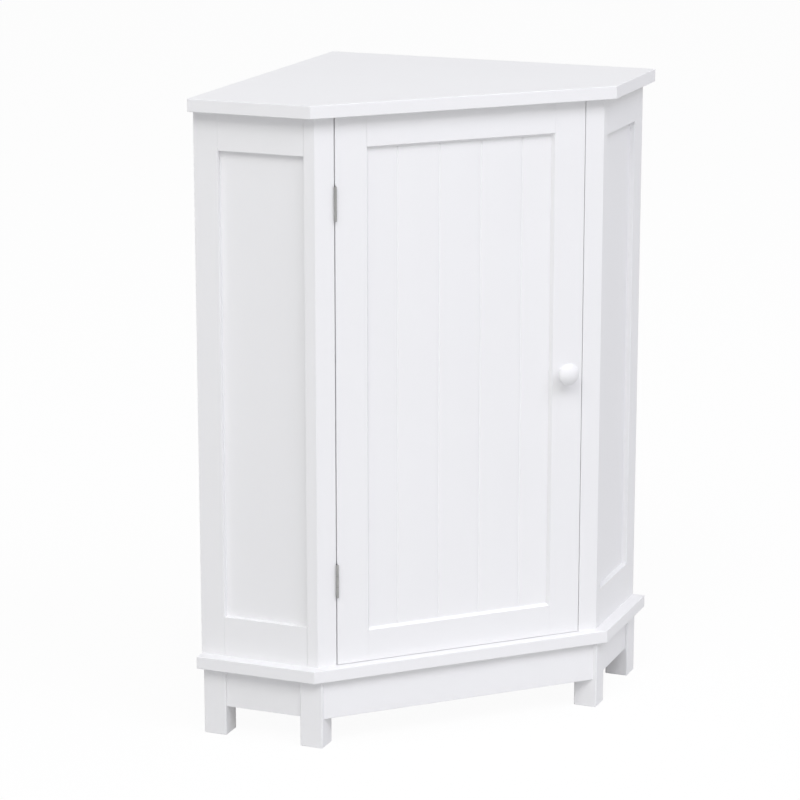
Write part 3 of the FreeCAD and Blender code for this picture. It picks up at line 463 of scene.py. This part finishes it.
makeDoorPanel(beading)
makeKnob(knob)
for which in ("upper", "lower"):
    makeHingeLeaf(hinge, which, "frame", -1, "cabinet")
    makeHingeLeaf(hinge, which, "door", 1, "door")
    makeHingePin(hinge, which)
print("pieces made: door panel, knob, hinges")

# Studio, in metres: white floor, a surround that glows softly from four sides, and three large softboxes
studio = {"floorHalf": 60.0, "floorWhite": "#CECECE", "seenWhite": "#FFFFFF", "seenShare": 0.95,
          "seenStrength": 1.0, "aim": (0, -0.1, 0.45), "distance": 10.0}
glows = {"front": {"azimuth": 0, "elevation": 0, "strength": 0.68},
         "right": {"azimuth": 90, "elevation": 0, "strength": 0.40},
         "left": {"azimuth": -90, "elevation": 0, "strength": 0.25},
         "back": {"azimuth": 180, "elevation": 30, "strength": 0.27}}
softboxes = {"keyRight": {"azimuth": 28, "elevation": 48, "size": (5.0, 5.0), "watts": 322,
                          "tone": "#F2F2FF"},
             "keyLeft": {"azimuth": -28, "elevation": 48, "size": (5.0, 5.0), "watts": 296,
                         "tone": "#FFFFFF"},
             "leftHigh": {"azimuth": -55, "elevation": 45, "size": (5.0, 4.5), "watts": 165,
                          "tone": "#FFFFFF"}}


def addShown(tree):  # one for rays that bring the background to the eye, also mirrored or through glass
    path = addNode(tree, "ShaderNodeLightPath").outputs
    mirrored = addNode(tree, "ShaderNodeMath", {"operation": "MAXIMUM"},
                       links={0: path["Is Glossy Ray"], 1: path["Is Transmission Ray"]})
    return addNode(tree, "ShaderNodeMath", {"operation": "MAXIMUM"},
                   links={0: path["Is Camera Ray"], 1: mirrored.outputs[0]}).outputs[0]


def makeFloor(look):
    bm = bmesh.new()
    bmesh.ops.create_grid(bm, x_segments=1, y_segments=1, size=look["floorHalf"])
    mesh = bpy.data.meshes.new("studioFloor")
    bm.to_mesh(mesh)
    bm.free()
    floor = bpy.data.objects.new("studioFloor", mesh)
    bpy.context.scene.collection.objects.link(floor)
    material, tree = newMaterial("paperFloor")
    shown = addShown(tree)
    tone = addNode(tree, "ShaderNodeMix", {"data_type": "RGBA"},
                   {"A": colour(look["floorWhite"]), "B": colour(look["seenWhite"])}, {"Factor": shown})
    paper = addNode(tree, "ShaderNodeBsdfDiffuse", links={"Color": tone.outputs["Result"]})
    glow = addNode(tree, "ShaderNodeEmission", inputs={"Strength": look["seenStrength"]})
    share = addNode(tree, "ShaderNodeMath", {"operation": "MULTIPLY"}, {1: look["seenShare"]}, {0: shown})
    mixed = addNode(tree, "ShaderNodeMixShader",
                    links={0: share.outputs[0], 1: paper.outputs[0], 2: glow.outputs[0]})
    addNode(tree, "ShaderNodeOutputMaterial", links={"Surface": mixed.outputs[0]})
    mesh.materials.append(material)


def toward(azimuth, elevation):  # from the object; azimuth 0 is the front and plus is right
    turn, rise = math.radians(azimuth), math.radians(elevation)
    return Vector((math.sin(turn) * math.cos(rise), -math.cos(turn) * math.cos(rise), math.sin(rise)))


def makeSurround(sides, seenWhite, seenStrength):
    world = bpy.data.worlds.new("studioSurround")
    bpy.context.scene.world = world
    world.use_nodes = True
    tree = world.node_tree
    tree.nodes.clear()
    direction = addNode(tree, "ShaderNodeTexCoord").outputs["Generated"]
    total = None
    for look in sides:  # each side fades out a quarter turn away from its middle
        lean = addNode(tree, "ShaderNodeVectorMath", {"operation": "DOT_PRODUCT"},
                       {1: toward(look["azimuth"], look["elevation"])}, {0: direction})
        facing = addNode(tree, "ShaderNodeMath", {"operation": "MAXIMUM"}, {1: 0.0},
                         {0: lean.outputs["Value"]}).outputs[0]
        sources = {0: facing, 2: total} if total else {0: facing}
        total = addNode(tree, "ShaderNodeMath", {"operation": "MULTIPLY_ADD"},
                        {1: look["strength"], 2: 0.0}, sources).outputs[0]
    strength = addNode(tree, "ShaderNodeMapRange", inputs={"To Max": seenStrength},
                       links={"Value": addShown(tree), "To Min": total})
    back = addNode(tree, "ShaderNodeBackground", inputs={"Color": colour(seenWhite)},
                   links={"Strength": strength.outputs["Result"]})
    addNode(tree, "ShaderNodeOutputWorld", links={"Surface": back.outputs[0]})


def makeSoftbox(name, look, aim, distance):
    lamp = bpy.data.lights.new(name, "AREA")
    lamp.shape = "RECTANGLE"
    lamp.size, lamp.size_y = look["size"]
    lamp.energy = look["watts"]
    lamp.color = colour(look["tone"])[:3]
    holder = bpy.data.objects.new(name, lamp)
    away = toward(look["azimuth"], look["elevation"])
    holder.location = Vector(aim) + distance * away
    holder.rotation_euler = (-away).to_track_quat("-Z", "Y").to_euler()
    holder.visible_glossy = False  # satin paint mirrors the even white surround, without a hot spot
    bpy.context.scene.collection.objects.link(holder)


makeFloor(studio)
makeSurround(glows.values(), studio["seenWhite"], studio["seenStrength"])
for lampName, lampLook in softboxes.items():
    makeSoftbox(lampName + "Softbox", lampLook, studio["aim"], studio["distance"])

# Camera at the photograph's angle: place and clip in metres, turns in radians
view = {"place": (-1.51173, -3.51867, 1.35124), "yaw": 0.40657, "pitch": 0.249, "focalPixels": 3073.35,
        "imagePixels": 800, "sensorMm": 36.0, "clip": (0.1, 100)}


def makeCamera(look):
    camera = bpy.data.cameras.new("photoCamera")
    camera.sensor_width = look["sensorMm"]
    camera.lens = look["focalPixels"] / look["imagePixels"] * look["sensorMm"]
    camera.clip_start, camera.clip_end = look["clip"]
    holder = bpy.data.objects.new("photoCamera", camera)
    holder.location = look["place"]
    holder.rotation_euler = (math.pi / 2 - look["pitch"], 0, -look["yaw"])
    bpy.context.scene.collection.objects.link(holder)
    bpy.context.scene.camera = holder


makeCamera(view)
bpy.context.scene.view_settings.view_transform = "Standard"
print("studio and camera set")
